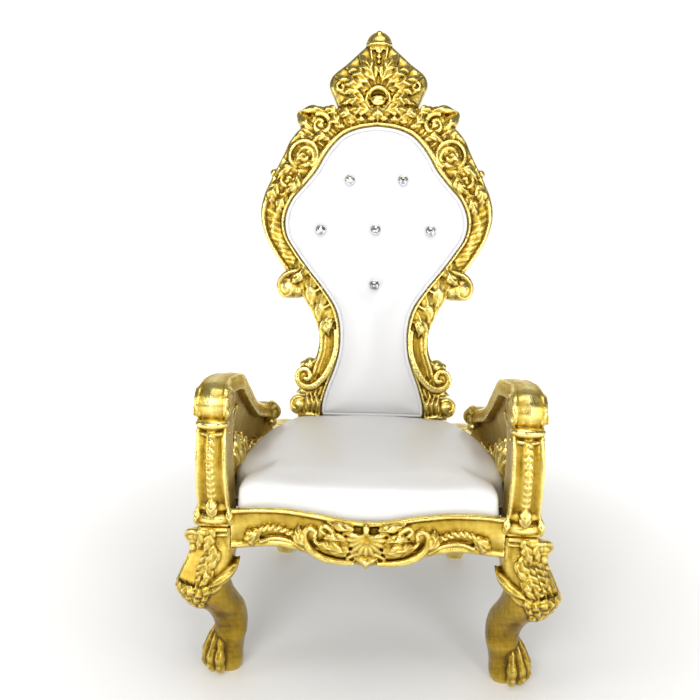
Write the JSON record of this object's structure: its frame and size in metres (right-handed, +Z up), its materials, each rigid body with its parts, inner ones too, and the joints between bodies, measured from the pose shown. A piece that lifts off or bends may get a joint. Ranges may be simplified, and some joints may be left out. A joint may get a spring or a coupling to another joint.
{
  "type": "throne",
  "caption": "Tall gilded baroque throne armchair with carved surround, lion-paw front legs, rolled arms, and white padded seat and button back.",
  "frame": {"origin": "on the floor, in the middle of the throne's footprint", "axes": "+Z up, the sitter faces -Y, +X is the sitter's left"},
  "size_m": [0.877, 0.896, 1.6771],
  "materials": {
    "gilding": "bright gold leaf over carved wood and composition ornament, burnished on the high points, darker in the hollows",
    "white_leatherette": "glossy white leatherette with fine grain, padded",
    "crystal": "faceted cut-crystal button in a silver setting",
    "dust_cover": "black woven dust cover under the seat board"
  },
  "bodies": {
    "root": {"back_frame": "gilding", "back_pad": "white_leatherette", "back_panel": "white_leatherette", "crystal_button_1": "crystal", "crystal_button_2": "crystal", "crystal_button_3": "crystal", "crystal_button_4": "crystal", "crystal_button_5": "crystal", "crystal_button_6": "crystal", "seat_cushion": "white_leatherette", "seat_base": "dust_cover", "front_rail": "gilding", "rear_rail": "gilding", "side_rail_left": "gilding", "side_rail_right": "gilding", "front_leg_left": "gilding", "front_leg_right": "gilding", "rear_leg_left": "gilding", "rear_leg_right": "gilding", "arm_left": "gilding", "arm_right": "gilding"}
  },
  "joints": []
}
